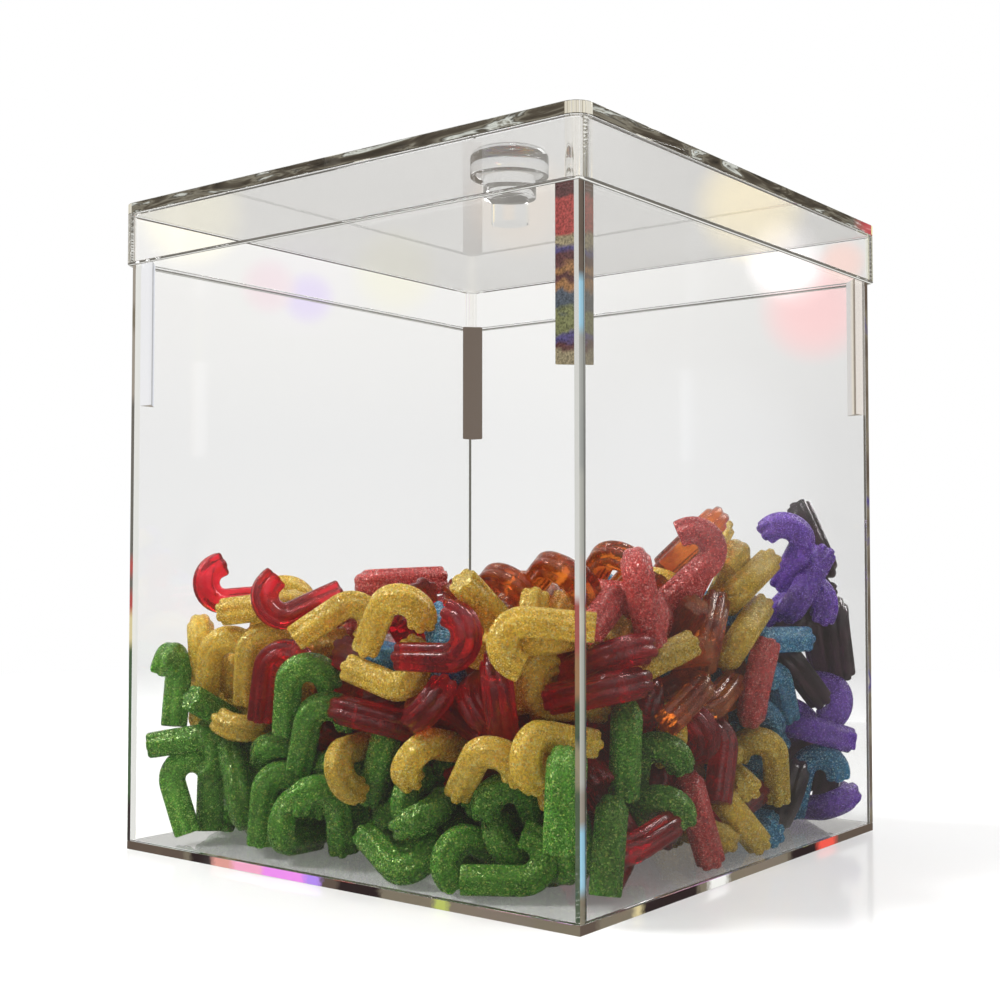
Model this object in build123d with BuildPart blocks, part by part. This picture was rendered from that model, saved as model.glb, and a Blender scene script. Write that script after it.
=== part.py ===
"""Clear acrylic candy bin: a square bonded box with corner gussets, a lift-off lid with a turned knob, and its load.

Frame: +Z up, origin at the centre of the footprint on the underside of the floor panel. The front is the -Y side.
The lid slides straight up off the rim along +Z.
"""

import os

from build123d import *

# Box, mm
BOX_WIDTH = 200.0  # outside, along X
BOX_DEPTH = 200.0  # outside, along Y
BOX_HEIGHT = 214.5  # from the table to the rim
WALL = 3.0
FLOOR = 3.0
BOND_LINE = 0.05  # thickness of the cement between two bonded faces

# Corner gussets: three-sided strips bonded into the top of each inside corner, flush with the rim
GUSSET_LEG = 6.5
GUSSET_LENGTH = 53.0

# Lid: a flat plate bonded onto a bent band, whose milled rebate drops over the rim
LID_OVERHANG = 3.0  # beyond the walls on each side
LID_CORNER_RADIUS = 8.0
LID_PLATE = 4.0
SKIRT_DEPTH = 18.5
SKIRT_THICKNESS = 4.0
REBATE_DEPTH = 1.0
REBATE_CLEARANCE = 0.2  # between the rebate and the outside of the walls
LID_SEAT_GAP = 0.05  # between the rebate's ceiling and the rim

# Knob: one turned piece with a foot, a collar and a disc head
KNOB_FOOT_DIAMETER = 14.0
KNOB_FOOT_HEIGHT = 9.7
KNOB_COLLAR_DIAMETER = 20.0
KNOB_COLLAR_HEIGHT = 7.8
KNOB_HEAD_DIAMETER = 30.0
KNOB_HEAD_HEIGHT = 10.5
KNOB_TOP_ROUND = 3.5
KNOB_LOWER_ROUND = 0.6

# Load: the space that the heap of gummies takes, low on the left and high towards the right
HEAP_GAP = 0.3  # clear of the floor
HEAP_SIDE_GAP = 1.2  # clear of the walls
HEAP_HEADROOM = 34.5  # from the crest up to the gussets
HEAP_MIDDLE_DROP = 23.0  # from the crest down to the middle of the heap
HEAP_LEFT_DROP = 50.0  # from the crest down to the left wall
HEAP_CREST_START = 29.0  # the crest runs from this x to the right wall
HEAP_SLOPE_START = -57.0  # the left slope begins at this x

# Worked out from the sizes above
inner_width = BOX_WIDTH - 2 * WALL
inner_depth = BOX_DEPTH - 2 * WALL
wall_bottom = FLOOR + BOND_LINE
gusset_bottom = BOX_HEIGHT - GUSSET_LENGTH
lid_width = BOX_WIDTH + 2 * LID_OVERHANG
lid_depth = BOX_DEPTH + 2 * LID_OVERHANG
skirt_bottom = BOX_HEIGHT + LID_SEAT_GAP - REBATE_DEPTH
plate_bottom = skirt_bottom + SKIRT_DEPTH + BOND_LINE
plate_top = plate_bottom + LID_PLATE

parts = []


def keep(name, builder):
    """Labels a finished piece and lists it for export."""
    builder.part.label = name
    parts.append(builder.part)


# Floor panel: the walls stand on it
with BuildPart() as floor_panel:
    Box(BOX_WIDTH, BOX_DEPTH, FLOOR, align=(Align.CENTER, Align.CENTER, Align.MIN))
keep("floor_panel", floor_panel)


# Walls: the front and rear ones run the full width, and the side ones fit between them
def wall_plate(width, depth, x, y):
    """An upright plate of the wall's height, standing on the floor panel with its centre at x, y."""
    with BuildPart() as plate:
        with BuildSketch(Plane.XY.offset(wall_bottom)):
            with Locations((x, y)):
                Rectangle(width, depth)
        extrude(amount=BOX_HEIGHT - wall_bottom)
    return plate


keep("front_wall", wall_plate(BOX_WIDTH, WALL, 0, -(BOX_DEPTH - WALL) / 2))
keep("rear_wall", wall_plate(BOX_WIDTH, WALL, 0, (BOX_DEPTH - WALL) / 2))
side_depth = inner_depth - 2 * BOND_LINE
keep("left_wall", wall_plate(WALL, side_depth, -(BOX_WIDTH - WALL) / 2, 0))
keep("right_wall", wall_plate(WALL, side_depth, (BOX_WIDTH - WALL) / 2, 0))


# Corner gussets
def corner_gusset(side_x, side_y):
    """A three-sided strip with its square edge in the inside corner at side_x, side_y (each -1 or 1)."""
    corner_x = side_x * (inner_width / 2 - BOND_LINE)
    corner_y = side_y * (inner_depth / 2 - BOND_LINE)
    with BuildPart() as strip:
        with BuildSketch(Plane.XY.offset(gusset_bottom)):
            with BuildLine():
                Polyline(
                    (corner_x, corner_y),
                    (corner_x - side_x * GUSSET_LEG, corner_y),
                    (corner_x, corner_y - side_y * GUSSET_LEG),
                    close=True,
                )
            make_face()
        extrude(amount=GUSSET_LENGTH)
    return strip


keep("gusset_front_left", corner_gusset(-1, -1))
keep("gusset_front_right", corner_gusset(1, -1))
keep("gusset_rear_left", corner_gusset(-1, 1))
keep("gusset_rear_right", corner_gusset(1, 1))

# Lid skirt: a band with round corners, rebated inside its lower edge so that it sits over the rim
with BuildPart() as lid_skirt:
    with BuildSketch(Plane.XY.offset(skirt_bottom)):
        RectangleRounded(lid_width, lid_depth, LID_CORNER_RADIUS)
        RectangleRounded(
            lid_width - 2 * SKIRT_THICKNESS,
            lid_depth - 2 * SKIRT_THICKNESS,
            LID_CORNER_RADIUS - SKIRT_THICKNESS,
            mode=Mode.SUBTRACT,
        )
    extrude(amount=SKIRT_DEPTH)
    with BuildSketch(Plane.XY.offset(skirt_bottom)):
        Rectangle(BOX_WIDTH + 2 * REBATE_CLEARANCE, BOX_DEPTH + 2 * REBATE_CLEARANCE)
    extrude(amount=REBATE_DEPTH, mode=Mode.SUBTRACT)
keep("lid_skirt", lid_skirt)

# Lid plate
with BuildPart() as lid_plate:
    with BuildSketch(Plane.XY.offset(plate_bottom)):
        RectangleRounded(lid_width, lid_depth, LID_CORNER_RADIUS)
    extrude(amount=LID_PLATE)
keep("lid_plate", lid_plate)

# Knob
foot_bottom = plate_top + BOND_LINE
collar_bottom = foot_bottom + KNOB_FOOT_HEIGHT
head_bottom = collar_bottom + KNOB_COLLAR_HEIGHT
head_top = head_bottom + KNOB_HEAD_HEIGHT
with BuildPart() as lid_knob:
    with BuildSketch(Plane.XY.offset(foot_bottom)):
        Circle(KNOB_FOOT_DIAMETER / 2)
    extrude(amount=KNOB_FOOT_HEIGHT)
    with BuildSketch(Plane.XY.offset(collar_bottom)):
        Circle(KNOB_COLLAR_DIAMETER / 2)
    extrude(amount=KNOB_COLLAR_HEIGHT)
    with BuildSketch(Plane.XY.offset(head_bottom)):
        Circle(KNOB_HEAD_DIAMETER / 2)
    extrude(amount=KNOB_HEAD_HEIGHT)
    head_rims = lid_knob.edges().filter_by(GeomType.CIRCLE).group_by(SortBy.RADIUS)[-1].sort_by(Axis.Z)
    fillet(head_rims[-1], KNOB_TOP_ROUND)
    fillet(head_rims[0], KNOB_LOWER_ROUND)
keep("lid_knob", lid_knob)

# Heap of gummies, as one plain closed solid
heap_bottom = FLOOR + HEAP_GAP
heap_half_width = inner_width / 2 - HEAP_SIDE_GAP
heap_depth = inner_depth - 2 * HEAP_SIDE_GAP
crest = gusset_bottom - HEAP_HEADROOM
with BuildPart() as candy_heap:
    with BuildSketch(Plane.XZ.offset(-heap_depth / 2)):
        with BuildLine():
            Polyline(
                (-heap_half_width, heap_bottom),
                (heap_half_width, heap_bottom),
                (heap_half_width, crest),
                (HEAP_CREST_START, crest),
                (HEAP_SLOPE_START, crest - HEAP_MIDDLE_DROP),
                (-heap_half_width, crest - HEAP_LEFT_DROP),
                close=True,
            )
        make_face()
    extrude(amount=heap_depth)
keep("candy_heap", candy_heap)

os.makedirs("parts", exist_ok=True)
for part in parts:
    export_step(part, f"parts/{part.label}.step")
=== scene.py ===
"""Clear acrylic candy bin with a lift-off lid, half full of hook-shaped gummies, on a pale studio floor.

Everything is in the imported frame: metres, +Z up, origin at the centre of the footprint. The gummies are
packed in millimetres, from a fixed seed.
"""

import math
from collections import namedtuple

import bmesh
import bpy
import numpy as np
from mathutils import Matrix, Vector


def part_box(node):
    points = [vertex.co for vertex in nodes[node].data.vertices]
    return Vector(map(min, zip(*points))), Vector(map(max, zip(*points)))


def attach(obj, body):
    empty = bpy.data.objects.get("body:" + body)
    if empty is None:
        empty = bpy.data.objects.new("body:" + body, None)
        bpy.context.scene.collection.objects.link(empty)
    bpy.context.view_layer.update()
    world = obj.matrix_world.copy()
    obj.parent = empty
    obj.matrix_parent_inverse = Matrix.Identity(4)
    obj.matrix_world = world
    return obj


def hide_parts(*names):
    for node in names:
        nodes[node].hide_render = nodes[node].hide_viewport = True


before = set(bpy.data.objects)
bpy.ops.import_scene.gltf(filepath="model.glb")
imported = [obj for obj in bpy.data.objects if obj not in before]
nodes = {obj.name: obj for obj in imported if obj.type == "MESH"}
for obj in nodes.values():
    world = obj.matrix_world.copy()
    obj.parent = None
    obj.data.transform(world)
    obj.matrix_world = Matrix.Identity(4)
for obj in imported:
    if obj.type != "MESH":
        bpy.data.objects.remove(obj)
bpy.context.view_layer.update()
scene = bpy.context.scene

MM = 0.001
WHITE = (1.0, 1.0, 1.0, 1.0)

# ---- camera

PHOTO_SIDE = 1000  # pixels
FOCAL_PIXELS = 1445.84
SENSOR = 36.0
CAMERA_PLACE = Vector((0.33213, -0.43623, 0.10606))
CAMERA_PITCH = math.radians(92.2546)
CAMERA_YAW = math.radians(37.762)


def in_scene(name, data):
    """A new object in the scene."""
    made = bpy.data.objects.new(name, data)
    scene.collection.objects.link(made)
    return made


def add_camera():
    data = bpy.data.cameras.new("camera")
    data.sensor_width = SENSOR
    data.lens = FOCAL_PIXELS * SENSOR / PHOTO_SIDE
    camera = in_scene("camera", data)
    camera.location = CAMERA_PLACE
    camera.rotation_euler = (CAMERA_PITCH, 0.0, CAMERA_YAW)
    scene.camera = camera
    bpy.context.view_layer.update()
    return camera


camera = add_camera()

RIGHT, FRONT, UP = 0, 1, 2  # the walls the camera sees, each as the axis across it, and the axis up


def sight(pixel):
    """The unit direction in which the camera sees a pixel of the photograph."""
    half = PHOTO_SIDE / 2
    local = Vector(((pixel[0] - half) / FOCAL_PIXELS, (half - pixel[1]) / FOCAL_PIXELS, -1.0))
    return np.array((camera.matrix_world.to_3x3() @ local).normalized())


def seen_at(pixel, axis, place):
    """The point, in metres, where the camera sees a pixel on the plane at a place along an axis."""
    ray = sight(pixel)
    return np.array(CAMERA_PLACE) + ray * (place - CAMERA_PLACE[axis]) / ray[axis]


# ---- node helpers


class Shader:
    """A node tree, with short calls to add nodes and link them."""

    def __init__(self, owner):
        owner.use_nodes = True
        self.tree = owner.node_tree
        self.tree.nodes.clear()

    def put(self, socket, value):
        """Sets an input socket to a value, or links it to another node's output."""
        if isinstance(value, bpy.types.NodeSocket):
            self.tree.links.new(value, socket)
        else:
            socket.default_value = value

    def add(self, kind, inputs=None, **settings):
        node = self.tree.nodes.new("ShaderNode" + kind)
        for key, value in settings.items():
            setattr(node, key, value)
        for key, value in (inputs or {}).items():
            self.put(node.inputs[key], value)
        return node

    def math(self, operation, *values):
        return self.add("Math", dict(enumerate(values)), operation=operation).outputs[0]

    def vector(self, operation, *values):
        """A vector operation's result, which is a number for a length or a dot product."""
        node = self.add("VectorMath", dict(enumerate(values)), operation=operation)
        return node.outputs["Value" if operation in ("LENGTH", "DOT_PRODUCT") else "Vector"]

    def size(self, value):
        return self.math("ABSOLUTE", value)

    def over(self, value, limit):
        """1 where a value is over a limit, and 0 elsewhere."""
        return self.math("GREATER_THAN", value, limit)

    def under(self, value, limit):
        return self.math("LESS_THAN", value, limit)

    def along(self, part):
        """1 where a surface faces along an axis, either way, from its normal's part on that axis."""
        return self.over(self.size(part), 0.5)

    def times(self, a, b):
        return self.math("MULTIPLY", a, b)

    def parts(self, vector):
        """A vector's X, Y and Z."""
        return self.add("SeparateXYZ", {0: vector}).outputs

    def place(self):
        """The shaded point in the object's own axes, in metres."""
        return self.add("TexCoord").outputs["Object"]

    def normal(self):
        return self.add("NewGeometry").outputs["Normal"]

    def scaled(self, value, low, high, start=0.0, end=1.0, kind="LINEAR"):
        """A value's share of the way from low to high, as a number from start to end."""
        inputs = {0: value, 1: low, 2: high, 3: start, 4: end}
        return self.add("MapRange", inputs, interpolation_type=kind).outputs[0]

    def noise(self, vector, scale, detail, distortion=0.0):
        inputs = {"Vector": vector, "Scale": scale, "Detail": detail, "Distortion": distortion}
        return self.add("TexNoise", inputs).outputs["Fac"]

    def ramp(self, factor, stops):
        """A colour ramp through (place, colour) stops."""
        node = self.add("ValToRGB", {0: factor})
        elements = node.color_ramp.elements
        while len(elements) < len(stops):
            elements.new(0.5)
        for element, (place, colour) in zip(elements, sorted(stops)):
            element.position = place
            element.color = (*colour, 1.0)
        return node.outputs[0]

    def mix(self, factor, a, b, blend="MIX"):
        """Two colours mixed."""
        node = self.add("Mix", data_type="RGBA", blend_type=blend)
        for socket, value in ((0, factor), (6, a), (7, b)):
            self.put(node.inputs[socket], value)
        return node.outputs[2]

    def blend(self, factor, a, b):
        """Two surfaces mixed."""
        return self.add("MixShader", {0: factor, 1: a, 2: b}).outputs[0]

    def glow(self, colour, strength=1.0):
        return self.add("Emission", {"Color": colour, "Strength": strength}).outputs[0]

    def surface(self, shader):
        """Makes a shader the material's surface."""
        self.add("OutputMaterial", {"Surface": shader})


def material(name):
    made = bpy.data.materials.new(name)
    return made, Shader(made)


# ---- acrylic

ACRYLIC_IOR = 1.49
CEMENT_IOR = 1.05  # the knob's foot stands in cement, which hides most of it
EDGE_BEVEL = 0.2 * MM
BEVEL_ANGLE = math.radians(35)
WELD_REACH = 0.001 * MM
TINT = (0.995, 0.996, 0.994, 1.0)


def acrylic(name, ior=ACRYLIC_IOR, glint=None):
    """Clear polished sheet. Lamps and scattered light pass straight through, so that what is inside is lit.

    A glint is a function that takes the shader and gives a colour and an amount: a painted glow of the
    light and shade that the sheet's edges pick up from around it, which hides what is behind.
    """
    made, s = material(name)
    inputs = {"Base Color": TINT, "Roughness": 0.0, "IOR": ior, "Transmission Weight": 1.0}
    seen = s.add("BsdfPrincipled", inputs).outputs[0]
    if glint:
        colour, amount = glint(s)
        seen = s.blend(amount, seen, s.glow(colour))
    clear = s.add("BsdfTransparent", {"Color": TINT}).outputs[0]
    path = s.add("LightPath").outputs
    s.surface(s.blend(s.math("MAXIMUM", path["Is Shadow Ray"], path["Is Diffuse Ray"]), seen, clear))
    return made


# ---- painted light and shade in the sheets' edges

# Metres
BOX_HALF, INNER_HALF, WALL_TOP = 0.1, 0.097, 0.2145
# Over GUSSET_SIDE the front gusset's side turns a painted grey
GUSSET_SIDE = (-0.0965, -0.0935)  # along Y, over which the front gusset turns grey
# Past WARM_SIDE and over WARM_END the lid's edge takes a painted red reflection
WARM_SIDE, WARM_END = 0.09, (0.080, 0.092)  # past this X, over this Y, the lid's edge turns red
SKIRT_FOOT, FOOT_HEIGHT = (0.1002, 0.103), 0.4 * MM  # the skirt's underside, across and up

# Colours of the painted light and shade that stand for what the sheets' edges pick up
DARK, BROWN, OLIVE = (0.03, 0.02, 0.02), (0.12, 0.09, 0.07), (0.21, 0.18, 0.13)
TAUPE, STONE, SLATE = (0.34, 0.30, 0.25), (0.46, 0.46, 0.42), (0.37, 0.38, 0.36)
PALE, SHADE, PINE = (0.90, 0.90, 0.86), (0.15, 0.14, 0.12), (0.05, 0.10, 0.04)
ROSE, PINK, MAGENTA = (0.75, 0.35, 0.30), (0.93, 0.42, 0.60), (0.88, 0.30, 0.88)
LIME, GOLD, SCARLET = (0.48, 0.55, 0.13), (0.70, 0.60, 0.33), (0.90, 0.11, 0.08)
MAROON, AMBER, SAND = (0.13, 0.05, 0.05), (0.40, 0.20, 0.08), (0.36, 0.30, 0.18)
MOSS, INDIGO, STEEL = (0.22, 0.23, 0.10), (0.10, 0.08, 0.22), (0.10, 0.12, 0.15)
VIOLET, SKY, CRIMSON = (0.48, 0.28, 0.90), (0.33, 0.60, 0.76), (0.46, 0.08, 0.07)
# Painted: grey on the front gusset's side, a dark brown reflection filling the rear left gusset, and a red
# reflection and a yellow glint at the lid's right end and corner
GUSSET_GREY = (0.24, 0.22, 0.18, 1.0)
GUSSET_BROWN = (0.17, 0.135, 0.11, 1.0)
CORNER_RED, CORNER_YELLOW = (0.72, 0.10, 0.12, 1.0), (1.0, 0.98, 0.35, 1.0)

# Share of the front gusset's height at which each band of painted candy reflection starts
CANDY_BANDS = [
    (0.00, SAND), (0.08, MAROON), (0.12, INDIGO), (0.17, MOSS), (0.29, STEEL), (0.39, AMBER),
    (0.44, MAROON), (0.49, AMBER), (0.54, MAROON), (0.60, INDIGO), (0.64, SAND), (0.71, CRIMSON),
    (0.93, MAROON),
]
CANDY_SOFTNESS = 0.012
CANDY_WAVE = 0.009  # height of the waves between the bands

# Across a gusset's slope, from the end nearer the camera: a painted thin line, then a painted shade that
# fades
COOL_SLOPE = [
    (0.00, (0.30, 0.30, 0.31)), (0.35, (0.55, 0.56, 0.60)), (0.70, (0.84, 0.87, 0.95)),
    (1.00, (1.00, 1.00, 1.00)),
]
WARM_SLOPE = [
    (0.00, (0.22, 0.17, 0.12)), (0.16, (0.24, 0.19, 0.14)), (0.30, (0.95, 0.86, 0.72)),
    (0.60, (0.82, 0.80, 0.79)),
]
# The painted light that fills the rest of each of those gussets
COOL_FILL, WARM_FILL = (0.95, 0.95, 0.97, 1.0), (1.00, 0.93, 0.86, 1.0)

# Painted bands of light and shade that the floor panel's edges and the walls' ends pick up
# Where the photograph shows each band start: by column along the floor panel's front and right edges
FRONT_EDGE = [
    (128, BROWN), (184, OLIVE), (190, DARK), (212, ROSE), (232, PINK), (262, MAGENTA), (304, VIOLET),
    (320, BROWN), (338, DARK), (380, OLIVE), (434, LIME), (448, OLIVE),
]
RIGHT_EDGE = [
    (582, BROWN), (598, OLIVE), (634, GOLD), (642, DARK), (698, OLIVE), (709, PALE), (728, OLIVE),
    (790, DARK), (818, SCARLET), (836, BROWN),
]
# By row up the front corner, the front left corner, and the right wall's end beside the front corner
CORNER_EDGE = [
    (928, OLIVE), (893, SKY), (828, TAUPE), (790, STONE), (470, SLATE), (330, SKY), (276, BROWN),
]
LEFT_EDGE = [
    (845, DARK), (800, PINE), (645, GOLD), (612, CRIMSON), (592, SHADE), (575, CRIMSON), (558, SHADE),
    (400, TAUPE), (330, OLIVE), (306, TAUPE),
]
CANDY_EDGE = [(928, PINE), (790, SAND), (745, PINE), (700, AMBER), (655, CRIMSON), (600, PALE)]
# Pixels: the columns of those three corners, the floor panel's right end, a row near its edges, and the
# row of the walls' top
CORNER_COLUMN, LEFT_COLUMN, CANDY_COLUMN, RIGHT_COLUMN = 582, 129, 577, 870
EDGE_ROW, TOP_ROW = 880, 185
BAND_SOFTNESS, CORNER_SOFTNESS = 3, 6
EDGE_JITTER = 0.004  # metres, how far the bands along the floor panel's edges wander

# Painted brightness across the corner's face, which runs into a painted dark line where the right wall begins
CORNER_FACE = [(0.0, (1.25,) * 3), (0.35, (1.0,) * 3), (0.72, (0.85,) * 3), (0.84, (0.22,) * 3)]
# Painted flecks of light and shade in the rear wall's ends
REAR_FLECKS = [(0.40, BROWN), (0.55, OLIVE), (0.64, INDIGO), (0.72, TAUPE)]
# Painted streaks of light and shade along the lid plate's edges
PLATE_STREAKS = [
    (0.30, (0.03, 0.025, 0.02)), (0.47, (0.09, 0.075, 0.055)), (0.54, (0.24, 0.22, 0.17)),
    (0.58, (0.07, 0.06, 0.045)), (0.64, (0.70, 0.72, 0.66)), (0.68, (0.18, 0.16, 0.12)),
    (0.76, (0.85, 0.95, 0.95)),
]
# Painted bars of light in the lid's round corners
CORNER_BARS = [
    (0.34, (0.25, 0.20, 0.14)), (0.42, (0.80, 0.74, 0.60)), (0.50, (0.72, 0.72, 0.70)),
    (0.55, (0.95, 0.86, 0.55)), (0.60, (0.45, 0.40, 0.33)), (0.66, (1.00, 0.98, 0.95)),
]
# The skirt's underside is painted as a light line between two dark ones
SKIRT_LINES = [(0.30, SHADE), (0.38, PALE), (0.60, PALE), (0.68, SHADE)]

# How much of each painted glint hides what is behind it
GLINT, CORNER_GLINT, PLATE_GLINT = 0.98, 0.86, 0.94
FOOT_GLINT, GUSSET_GLINT, SLOPE_GLINT = 0.9, 0.9, 0.85
LEFT_END_GLINT, RIGHT_END_GLINT = 0.95, 0.70


def banded(bands, end, soft):
    """A ramp's stops that hold each band's colour from its start to the next one's, or to the end."""
    stops = []
    for (start, colour), (stop, _) in zip(bands, bands[1:] + [(end, None)]):
        edge = math.copysign(soft, stop - start)
        stops += [(start + edge, colour), (stop - edge, colour)]
    return stops


def candy_glint(s):
    """Painted reflection of the heap's candy colours in the front gusset, stacked in wavy bands."""
    place = s.place()
    _, y, z = s.parts(place)
    wave = s.noise(place, scale=110.0, detail=3.0, distortion=0.6)
    height = s.math("MULTIPLY_ADD", wave, CANDY_WAVE, z)
    low, high = (corner.z + CANDY_WAVE / 2 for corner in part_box("gusset_front_right"))
    bands = s.ramp(s.scaled(height, low, high), banded(CANDY_BANDS, 1.0, CANDY_SOFTNESS))
    reflected_speckle = s.scaled(s.noise(place, scale=1800.0, detail=2.0), 0.3, 0.7, 0.35, 1.25)
    side = s.scaled(y, *GUSSET_SIDE, 0.0, 0.55)
    return s.mix(side, s.vector("MULTIPLY", bands, reflected_speckle), GUSSET_GREY), GUSSET_GLINT


def slope_glint(name, fill, slope):
    """Painted light that fills a gusset seen through its wall, and a painted line and shade on its slope."""

    def glint(s):
        _, y, _ = s.parts(s.place())
        nx, ny, nz = s.parts(s.normal())
        low, high = (corner.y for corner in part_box(name))
        on_slope = s.over(s.times(nx, ny), 0.1)
        colour = s.mix(on_slope, fill, s.ramp(s.scaled(y, low, high), slope))
        return s.mix(s.under(nz, -0.5), colour, (*TAUPE, 1.0)), SLOPE_GLINT

    return glint


def floor_glint(s):
    """Painted bands of what the floor panel's edges pick up: front and right, mirrored behind and left."""
    place = s.place()
    x, y, _ = s.parts(place)
    jitter = s.noise(place, scale=700.0, detail=2.0)
    low, high = EDGE_JITTER / 2 - BOX_HALF, EDGE_JITTER / 2 + BOX_HALF
    ramps = []
    for along, axis, bands, end, wall, wall_at in (
        (x, RIGHT, FRONT_EDGE, CORNER_COLUMN, FRONT, -BOX_HALF),
        (y, FRONT, RIGHT_EDGE, RIGHT_COLUMN, RIGHT, BOX_HALF),
    ):
        stops = []
        for column, colour in banded(bands, end, BAND_SOFTNESS):
            at = seen_at((column, EDGE_ROW), wall, wall_at)[axis]
            stops.append(((at + BOX_HALF) / (2 * BOX_HALF), colour))
        wandering = s.math("MULTIPLY_ADD", jitter, EDGE_JITTER, along)
        ramps.append(s.ramp(s.scaled(wandering, low, high), stops))
    nx, _, nz = s.parts(s.normal())
    upright = s.under(s.size(nz), 0.5)
    return s.mix(s.along(nx), *ramps), s.times(upright, GLINT)


def up_a_corner(s, z, column, wall, wall_at, bands):
    """A painted colour by height that shows bands at the rows where the camera sees them up a corner."""
    stops = []
    for row, colour in banded(bands, TOP_ROW, CORNER_SOFTNESS):
        stops.append((seen_at((column, row), wall, wall_at)[UP] / WALL_TOP, colour))
    return s.ramp(s.scaled(z, 0.0, WALL_TOP), stops)


def front_wall_glint(s):
    """Painted light and shade for what the ends of the front wall pick up, up the two front corners."""
    x, y, z = s.parts(s.place())
    nx, _, _ = s.parts(s.normal())
    left = up_a_corner(s, z, LEFT_COLUMN, FRONT, -BOX_HALF, LEFT_EDGE)
    right = up_a_corner(s, z, CORNER_COLUMN, RIGHT, BOX_HALF, CORNER_EDGE)
    face = s.ramp(s.scaled(y, -BOX_HALF, -INNER_HALF), CORNER_FACE)
    at_right = s.over(x, 0.0)
    amount = s.math("MULTIPLY_ADD", at_right, CORNER_GLINT - GLINT, GLINT)
    return s.mix(at_right, left, s.mix(1.0, right, face, "MULTIPLY")), s.times(s.along(nx), amount)


def rear_wall_glint(s):
    """Painted light and shade for what the ends of the rear wall pick up."""
    nx, _, _ = s.parts(s.normal())
    flecks = s.noise(s.place(), scale=60.0, detail=3.0)
    return s.ramp(flecks, REAR_FLECKS), s.times(s.along(nx), GLINT)


def side_wall_glint(s):
    """Painted ends of the side walls: light and candy colours picked up at the front, dark at the rear."""
    x, y, z = s.parts(s.place())
    _, ny, _ = s.parts(s.normal())
    right = up_a_corner(s, z, CANDY_COLUMN, FRONT, -BOX_HALF, CANDY_EDGE)
    front = s.mix(s.over(x, 0.0), (*PALE, 1.0), right)
    amount = s.scaled(x, -BOX_HALF / 2, BOX_HALF / 2, LEFT_END_GLINT, RIGHT_END_GLINT)
    return s.mix(s.over(y, 0.0), front, (*SHADE, 1.0)), s.times(s.along(ny), amount)


def lid_glint(s):
    """Painted streaks of light and shade in the lid plate's edges, round corners and under the skirt."""
    x, y, z = s.parts(s.place())
    nx, ny, nz = s.parts(s.normal())
    upright = s.under(s.size(nz), 0.6)
    on_plate = s.times(upright, s.over(z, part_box("lid_plate")[0].z))
    lean = s.add("CombineXYZ", {0: x, 1: y, 2: s.times(z, 6.0)}).outputs[0]
    streaks = s.ramp(s.noise(lean, scale=38.0, detail=5.0, distortion=1.5), PLATE_STREAKS)
    round_part = s.times(s.over(s.times(s.size(nx), s.size(ny)), 0.04), upright)
    turn = {"W": s.math("ARCTAN2", ny, nx), "Scale": 24.0, "Detail": 3.0}
    bar = s.add("TexNoise", turn, noise_dimensions="1D").outputs["Fac"]
    # painted red reflection at the end of the right side, and a painted yellow glint in the corner there
    warm = s.scaled(s.times(s.over(x, WARM_SIDE), y), *WARM_END)
    streaks = s.mix(s.times(warm, 0.7), streaks, CORNER_RED)
    bars = s.mix(s.times(warm, 0.6), s.ramp(bar, CORNER_BARS), CORNER_YELLOW)
    thin = s.scaled(bar, 0.50, 0.64, 0.03, 0.6)
    amount = s.math("MAXIMUM", s.times(on_plate, PLATE_GLINT), s.times(round_part, thin))
    outward = s.math("MAXIMUM", s.size(x), s.size(y))
    lines = s.ramp(s.scaled(outward, *SKIRT_FOOT), SKIRT_LINES)
    under = s.under(z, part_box("lid_skirt")[0].z + FOOT_HEIGHT)
    colour = s.mix(under, s.mix(round_part, streaks, bars), lines)
    return colour, s.math("MAXIMUM", amount, s.times(under, FOOT_GLINT))


def dress(node, made):
    """Gives a CAD node its material and a small bevel on its sharp edges."""
    node.data.materials.clear()
    node.data.materials.append(made)
    weld = node.modifiers.new("weld", "WELD")
    weld.merge_threshold = WELD_REACH
    bevel = node.modifiers.new("bevel", "BEVEL")
    bevel.width = EDGE_BEVEL
    bevel.segments = 2
    bevel.limit_method = "ANGLE"
    bevel.angle_limit = BEVEL_ANGLE
    for face in node.data.polygons:
        face.use_smooth = False


# Each sheet's glint: a painted glow of the light and shade that it picks up
GLINTS = {
    "floor_panel": floor_glint,
    "front_wall": front_wall_glint,
    "rear_wall": rear_wall_glint,
    "left_wall": side_wall_glint,
    "right_wall": side_wall_glint,
    "gusset_front_right": candy_glint,
    "gusset_front_left": slope_glint("gusset_front_left", COOL_FILL, COOL_SLOPE),
    "gusset_rear_right": slope_glint("gusset_rear_right", WARM_FILL, WARM_SLOPE),
    # the rear left gusset is a flat painted dark brown, the dark reflection that fills it
    "gusset_rear_left": lambda s: (GUSSET_BROWN, GUSSET_GLINT),
}
for name, glint in GLINTS.items():
    dress(nodes[name], acrylic(f"{name}_acrylic", glint=glint))

# ---- lid

CORNER_STEPS = 16  # segments of each rounded corner
SMOOTH_BELOW = math.radians(40)
SAME_POINT = 0.0005 * MM

# Millimetres, with half widths for the skirt and radii for the knob
LID_CORNER, LID_SOFT = 6.0, 0.25
SKIRT_INSIDE, REBATE_INSIDE, REBATE_CORNER, REBATE_HEIGHT = 99.0, 100.2, 0.05, 1.0
FOOT_RADIUS, COLLAR_RADIUS, HEAD_RADIUS = 7.0, 10.0, 15.0
COLLAR_UP, HEAD_UP = 9.7, 17.5  # above the plate
COLLAR_ROUND, HEAD_LOW_ROUND, HEAD_TOP_ROUND = 0.3, 0.6, 3.5
FOOT_GAP = 0.05  # between the knob's foot and its collar


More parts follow.
